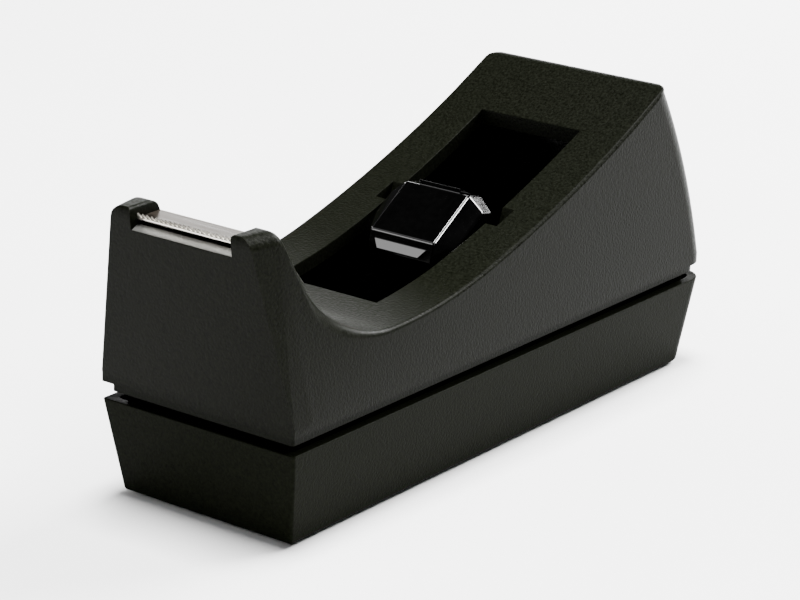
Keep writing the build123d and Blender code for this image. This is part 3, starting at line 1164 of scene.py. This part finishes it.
# ---------------------------------------------------------------- blade and seat
@dataclass
class BladeSeat:
    """Block between the posts with the blade on top and the smooth ledge in front, whose light grey is a
    painted reflection.
    """

    outline: SideOutline
    half: float = 13.05
    ledge: tuple[tuple[float, float], tuple[float, float]] = ((-4.22, 60.76), (-2.1, 61.68))
    body: tuple[tuple[float, float], ...] = ((-2.0, 60.9), (0.3, 60.9), (0.3, 62.6), (4.1, 62.6),
                                             (4.95, 61.1), (4.95, 59.05), (-1.85, 59.05), (-1.85, 60.76))
    edge: float = 0.12
    edge_steps: int = 2
    turn_angle: float = 15.0
    mark_radius: float = 1.35
    mark_depth: float = 0.1
    mark_steps: int = 24

    def build(self, light: Material, dark: Material) -> Object:
        """Builds and dresses the seat.

        Args:
            light: finish of the ledge, light grey as a painted reflection.
            dark: finish of the block behind it.

        Returns:
            The finished piece.
        """
        plan = self.outline.plan
        section = self.ledge + self.body
        points = [Vector((-self.half, plan.at(run), height)) for run, height in section]
        bm = Bench.prism(points, Vector((2 * self.half, 0, 0)))
        bmesh.ops.recalc_face_normals(bm, faces=bm.faces)
        Bench.round_edges(bm, Bench.sharp(bm, self.turn_angle), self.edge, self.edge_steps)
        seat = Bench.piece("seat", bm)
        Bench.combine(seat, self.mark(), Way.CUT)
        Bench.dress(seat, light, Slot.SEAT, Body.ROOT, ["blade_seat"])
        seat.data.materials.append(dark)
        # The ledge's faces keep the painted reflection; faces behind and below it take the dark
        # moulding.
        (_, low), (end, _) = self.ledge
        for polygon in seat.data.polygons:
            behind = polygon.center.y > (plan.at(end) - self.edge) * MM
            polygon.material_index = int(behind or polygon.center.z < low * MM - self.edge * MM)
        return seat

    def mark(self) -> Object:
        """Cutter of the shallow half-round gate mark at the top of the ledge.

        Returns:
            The cutter.
        """
        plan = self.outline.plan
        (start, low), (end, high) = self.ledge
        slope = math.atan2(high - low, end - start)
        bm = bmesh.new()
        bmesh.ops.create_cone(bm, cap_ends=True, segments=self.mark_steps, radius1=self.mark_radius,
                              radius2=self.mark_radius, depth=2 * self.mark_depth)
        sloping = Matrix.Rotation(slope, 3, "X")
        bmesh.ops.rotate(bm, cent=(0, 0, 0), matrix=sloping, verts=bm.verts)
        bmesh.ops.translate(bm, vec=(0, plan.at(end), high), verts=bm.verts)
        return Bench.piece("mark", bm)


@dataclass
class Blade:
    """Serrated strip: a flat plate with a row of teeth standing along its front, the teeth painted light
    as a painted reflection.
    """

    plan: Plan
    half: float = 13.05
    teeth: int = 22
    depth: float = 1.15
    tip: float = 0.12
    height: float = 2.1
    lean: float = 36.0
    thickness: float = 0.35
    foot: tuple[float, float] = (-1.78, 62.2)
    plate: tuple[float, float, float, float] = (-2.3, 4.3, 62.62, 63.05)
    edge: float = 0.1
    edge_steps: int = 2
    frontward: float = -0.5

    def comb(self) -> Object:
        """Row of teeth, drawn flat, thickened, then leaned forwards at the plate's front edge.

        Returns:
            The row, to be joined to the plate.
        """
        pitch = 2 * self.half / self.teeth
        outline = [Vector((-self.half, 0, 0)), Vector((self.half, 0, 0)),
                   Vector((self.half, 0, self.height - self.depth))]
        for i in range(self.teeth):
            peak = self.half - (i + 0.5) * pitch
            outline += [Vector((peak + self.tip / 2, 0, self.height)),
                        Vector((peak - self.tip / 2, 0, self.height)),
                        Vector((peak - pitch / 2, 0, self.height - self.depth))]
        bm = Bench.prism(outline, Vector((0, self.thickness, 0)))
        leaning = Matrix.Rotation(math.radians(self.lean), 3, "X")
        bmesh.ops.rotate(bm, cent=(0, 0, 0), matrix=leaning, verts=bm.verts)
        run, height = self.foot
        bmesh.ops.translate(bm, vec=(0, self.plan.at(run), height), verts=bm.verts)
        return Bench.piece("comb", bm)

    def build(self, material: Material, painted_teeth_reflection: Material) -> Object:
        """Builds and dresses the blade.

        Args:
            material: finish of the strip.
            painted_teeth_reflection: much lighter copy of the strip's steel on the teeth and front
                faces, a painted reflection.

        Returns:
            The finished piece.
        """
        front, rear, low, high = self.plate
        bm = Bench.block((-self.half, self.plan.at(front), low),
                         (self.half, self.plan.at(rear), high))
        Bench.round_edges(bm, list(bm.edges), self.edge, self.edge_steps)
        blade = Bench.piece("blade", bm)
        Bench.combine(blade, self.comb(), Way.JOIN)
        Bench.dress(blade, material, Slot.BLADE, Body.ROOT, ["cutter_blade"])
        blade.data.materials.append(painted_teeth_reflection)
        # Teeth and front-facing faces take the second slot, a much lighter copy of the same steel:
        # painted reflection.
        above = (high + self.edge / 2) * MM
        for polygon in blade.data.polygons:
            toothed = polygon.center.z > above or polygon.normal.y < self.frontward
            polygon.material_index = int(toothed)
        return blade


# ---------------------------------------------------------------- core
@dataclass
class Core:
    """Square-faced drum with tapered ends, turned as it stands in the two notches."""

    plan: Plan
    radius: float = 12.8
    half: float = 8.3
    panel: float = 68.6
    tilt: float = 32.9
    cap_length: float = 4.1
    cap_scale: float = 0.76
    cap_gap: float = 0.06
    bore: float = 2.55
    bore_steps: int = 32
    edge: float = 0.45
    edge_steps: int = 3
    end_edge: float = 0.15
    end_steps: int = 2
    end_angle: float = 60.0
    cap_angle: float = 20.0
    grip_halves: tuple[float, float] = (7.0, 5.5)
    grip_ends: tuple[float, float] = (0.65, -1.35)
    grip_heights: tuple[float, float] = (0.25, 0.95)
    grip_root: float = 1.0
    grip_edge: float = 0.08
    grip_steps: int = 2

    def outline(self, radius: float, x: float) -> list[Vector]:
        """Square with cut corners across the axle.

        Args:
            radius: distance of its points from the axle's centre.
            x: where it stands along the axle.

        Returns:
            Its points in order.
        """
        points = []
        for quarter in range(4):
            for side in (-0.5, 0.5):
                angle = math.radians(90 + self.tilt + 90 * quarter + side * self.panel)
                points.append(Vector((x, radius * math.cos(angle), radius * math.sin(angle))))
        return points

    def rod(self, half: float) -> Object:
        """Cutter of the bore along the axle.

        Args:
            half: how far it reaches to each side.

        Returns:
            The cutter.
        """
        bm = bmesh.new()
        bmesh.ops.create_cone(bm, cap_ends=True, segments=self.bore_steps, radius1=self.bore,
                              radius2=self.bore, depth=2 * half,
                              matrix=Matrix.Rotation(math.pi / 2, 4, "Y"))
        bmesh.ops.translate(bm, vec=self.plan.axle_at(0), verts=bm.verts)
        return Bench.piece("bore", bm)

    def grip(self) -> BMesh:
        """Low wedge that stands on a cut corner, drawn on top of the core before it is turned.

        Returns:
            The new bmesh.
        """
        flat = self.radius * math.cos(math.radians((90 - self.panel) / 2))
        (wide, narrow), (near, far) = self.grip_halves, self.grip_ends
        low, high = self.grip_heights
        bm = bmesh.new()
        corners = ((-wide, near), (wide, near), (narrow, far), (-narrow, far))
        face = bm.faces.new([bm.verts.new((x, y, flat - self.grip_root)) for x, y in corners])
        grown = bmesh.ops.extrude_face_region(bm, geom=[face])
        for vert in grown["geom"]:
            if isinstance(vert, BMVert):
                vert.co.z = flat + (low if vert.co.y > 0 else high)
        bmesh.ops.recalc_face_normals(bm, faces=bm.faces)
        Bench.round_edges(bm, list(bm.edges), self.grip_edge, self.grip_steps)
        return bm

    def drum(self, material: Material) -> Object:
        """Middle of the core with a low grip on each cut corner.

        Args:
            material: its finish.

        Returns:
            The finished piece.
        """
        bm = Bench.tower([self.outline(self.radius, place) for place in (-self.half, self.half)])
        bmesh.ops.recalc_face_normals(bm, faces=bm.faces)
        along = [edge for edge in bm.edges
                 if abs(edge.verts[0].co.x - edge.verts[1].co.x) > self.half]
        Bench.round_edges(bm, along, self.edge, self.edge_steps)
        Bench.round_edges(bm, Bench.sharp(bm, self.end_angle), self.end_edge, self.end_steps)
        bmesh.ops.translate(bm, vec=self.plan.axle_at(0), verts=bm.verts)
        drum = Bench.piece("core_middle", bm)
        for quarter in range(4):
            grip = self.grip()
            angle = math.radians(self.tilt + 90 * quarter + 45)
            turned = Matrix.Rotation(angle, 3, "X")
            bmesh.ops.rotate(grip, cent=(0, 0, 0), matrix=turned, verts=grip.verts)
            bmesh.ops.translate(grip, vec=self.plan.axle_at(0), verts=grip.verts)
            Bench.combine(drum, Bench.piece("grip", grip), Way.JOIN)
        Bench.combine(drum, self.rod(2 * self.half), Way.CUT)
        return Bench.dress(drum, material, Slot.GLOSS, Body.CORE, ["core_drum"])

    def cap(self, side: int, material: Material) -> Object:
        """Tapered end of the core.

        Args:
            side: 1 for the right end, -1 for the left.
            material: its finish.

        Returns:
            The finished piece.
        """
        near = self.half + self.cap_gap
        far = self.half + self.cap_length
        bm = Bench.tower([self.outline(self.radius, side * near),
                          self.outline(self.radius * self.cap_scale, side * far)])
        bmesh.ops.recalc_face_normals(bm, faces=bm.faces)
        Bench.round_edges(bm, Bench.sharp(bm, self.cap_angle), self.edge, self.edge_steps)
        bmesh.ops.translate(bm, vec=self.plan.axle_at(0), verts=bm.verts)
        hand = "right" if side > 0 else "left"
        cap = Bench.piece(f"{hand}_core_end", bm)
        Bench.combine(cap, self.rod(2 * self.half), Way.CUT)
        return Bench.dress(cap, material, Slot.GLOSS, Body.CORE, [f"{hand}_core_cap"])

    def build(self, material: Material) -> list[Object]:
        """Builds and dresses all three pieces of the core."""
        return [self.drum(material), self.cap(-1, material), self.cap(1, material)]


# ---------------------------------------------------------------- kept nodes
@dataclass
class KeptNodes:
    """Nodes whose own shape is shown, each with its finish."""

    finishes: dict[str, Material]

    def build(self) -> None:
        """Assigns each node's finish to its own slots."""
        for name, material in self.finishes.items():
            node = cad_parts[name]
            node.data.materials.clear()
            node.data.materials.append(material)
            LOG.info("%s keeps its own shape with %s", name, material.name)


# ---------------------------------------------------------------- studio
@dataclass(frozen=True)
class Lamp:
    """One soft rectangular light aimed at the object."""

    name: str
    azimuth: float
    elevation: float
    distance: float
    width: float
    height: float
    power: float

    def build(self, aim: Vector) -> Object:
        """Places the lamp round a point.

        Args:
            aim: the point that it faces.

        Returns:
            The lamp's object.
        """
        data = bpy.data.lights.new(self.name, "AREA")
        data.shape = "RECTANGLE"
        data.size = self.width
        data.size_y = self.height
        data.energy = self.power
        back = outward(self.azimuth, self.elevation)
        lamp = bpy.data.objects.new(self.name, data)
        lamp.location = aim + back * self.distance
        lamp.rotation_mode = "QUATERNION"
        lamp.rotation_quaternion = (-back).to_track_quat("-Z", "Y")
        lamp.visible_camera = False
        bpy.context.scene.collection.objects.link(lamp)
        return lamp


@dataclass
class Studio:
    """Floor, surrounding light, lamps and the camera at the photograph's angle."""

    azimuth: float = 37.356
    elevation: float = 18.988
    roll: float = 1.148
    focal_pixels: float = 3013.65
    frame_pixels: float = 800.0
    sensor: float = 36.0
    place: tuple[float, float, float] = (0.37266, -0.49430, 0.24201)
    near: float = 0.01
    far: float = 50.0
    aim: tuple[float, float, float] = (0.0, 0.0, 0.035)
    floor_half: float = 6.0
    sky: tuple[float, float, float] = (1.0, 1.0, 1.0)
    sky_strength: float = 0.03
    lamps: tuple[Lamp, ...] = (
        Lamp("top_soft", 0.0, 90.0, 1.6, 0.5, 0.5, 130.0),
        Lamp("rear_low_soft", -147.0, 11.0, 1.5, 0.8, 0.5, 9.0),
        Lamp("rear_high_soft", 166.0, 34.0, 1.3, 0.9, 0.35, 75.0),
        Lamp("front_soft", -42.0, 27.0, 1.3, 0.5, 0.4, 4.4),
        Lamp("ledge_soft", -60.0, 49.0, 1.3, 0.4, 0.35, 0.6),
    )

    def camera(self) -> None:
        """Creates the camera where the photograph was taken from."""
        roll = math.radians(self.roll)
        back = outward(self.azimuth, self.elevation)
        level = (-back).cross(Vector((0, 0, 1))).normalized()
        upright = level.cross(-back)
        right = math.cos(roll) * level + math.sin(roll) * upright
        up = -math.sin(roll) * level + math.cos(roll) * upright
        data = bpy.data.cameras.new("camera")
        data.sensor_width = self.sensor
        data.lens = self.focal_pixels / self.frame_pixels * self.sensor
        data.clip_start = self.near
        data.clip_end = self.far
        camera = bpy.data.objects.new("camera", data)
        turned = Matrix((right, up, back)).transposed().to_4x4()
        camera.matrix_world = Matrix.Translation(self.place) @ turned
        bpy.context.scene.collection.objects.link(camera)
        bpy.context.scene.camera = camera

    def surround(self) -> None:
        """Sets an even pale light all round."""
        world = bpy.data.worlds.new("surround")
        world.use_nodes = True
        shader = world.node_tree.nodes["Background"]
        shader.inputs["Color"].default_value = (*self.sky, 1)
        shader.inputs["Strength"].default_value = self.sky_strength
        bpy.context.scene.world = world

    def floor(self) -> None:
        """Lays the pale floor."""
        bm = bmesh.new()
        bmesh.ops.create_grid(bm, x_segments=1, y_segments=1, size=self.floor_half)
        floor = Bench.piece("floor", bm, 1.0)
        floor.data.materials.append(PaleFloor().make())

    def build(self) -> None:
        """Sets up the whole studio."""
        self.camera()
        self.surround()
        self.floor()
        for lamp in self.lamps:
            lamp.build(Vector(self.aim))


def main() -> None:
    """Builds every sub-assembly in order."""
    logging.basicConfig(level=logging.INFO, format="%(message)s")
    plan = Plan()
    outline = SideOutline(plan)
    charcoal = TexturedPlastic().make()
    matt = TexturedPlastic("charcoal_pan", dark=(0.0012, 0.0015, 0.0006),
                           light=(0.0038, 0.0046, 0.0023), shine=0.008).make()
    gloss = PolishedPlastic().make()
    # The ledge's light grey is a painted reflection.
    ledge = LedgeReflectionPaint().make()
    strip = RolledSteel().make()
    # Light copy of the blade steel for the teeth: painted reflection of the bright floor and lamps.
    painted_teeth_reflection = RolledSteel("teeth_painted_reflection", dark=(0.70, 0.66, 0.58), light=(0.86, 0.83, 0.76)).make()
    iron, plated = SandCasting().make(), PlatedSteel().make()
    Studio().build()
    Housing(outline).build(charcoal)
    BasePan(plan).build(matt)
    BladeSeat(outline).build(ledge, matt)
    Blade(plan).build(strip, painted_teeth_reflection)
    Core(plan).build(gloss)
    KeptNodes({"tape_well": gloss, "core_axle": gloss, "front_ballast": iron, "rear_ballast": iron,
               "non_slip_pad": CellRubber().make(), "housing_screws": plated,
               "ballast_screws": plated}).build()


if __name__ == "__main__":
    main()
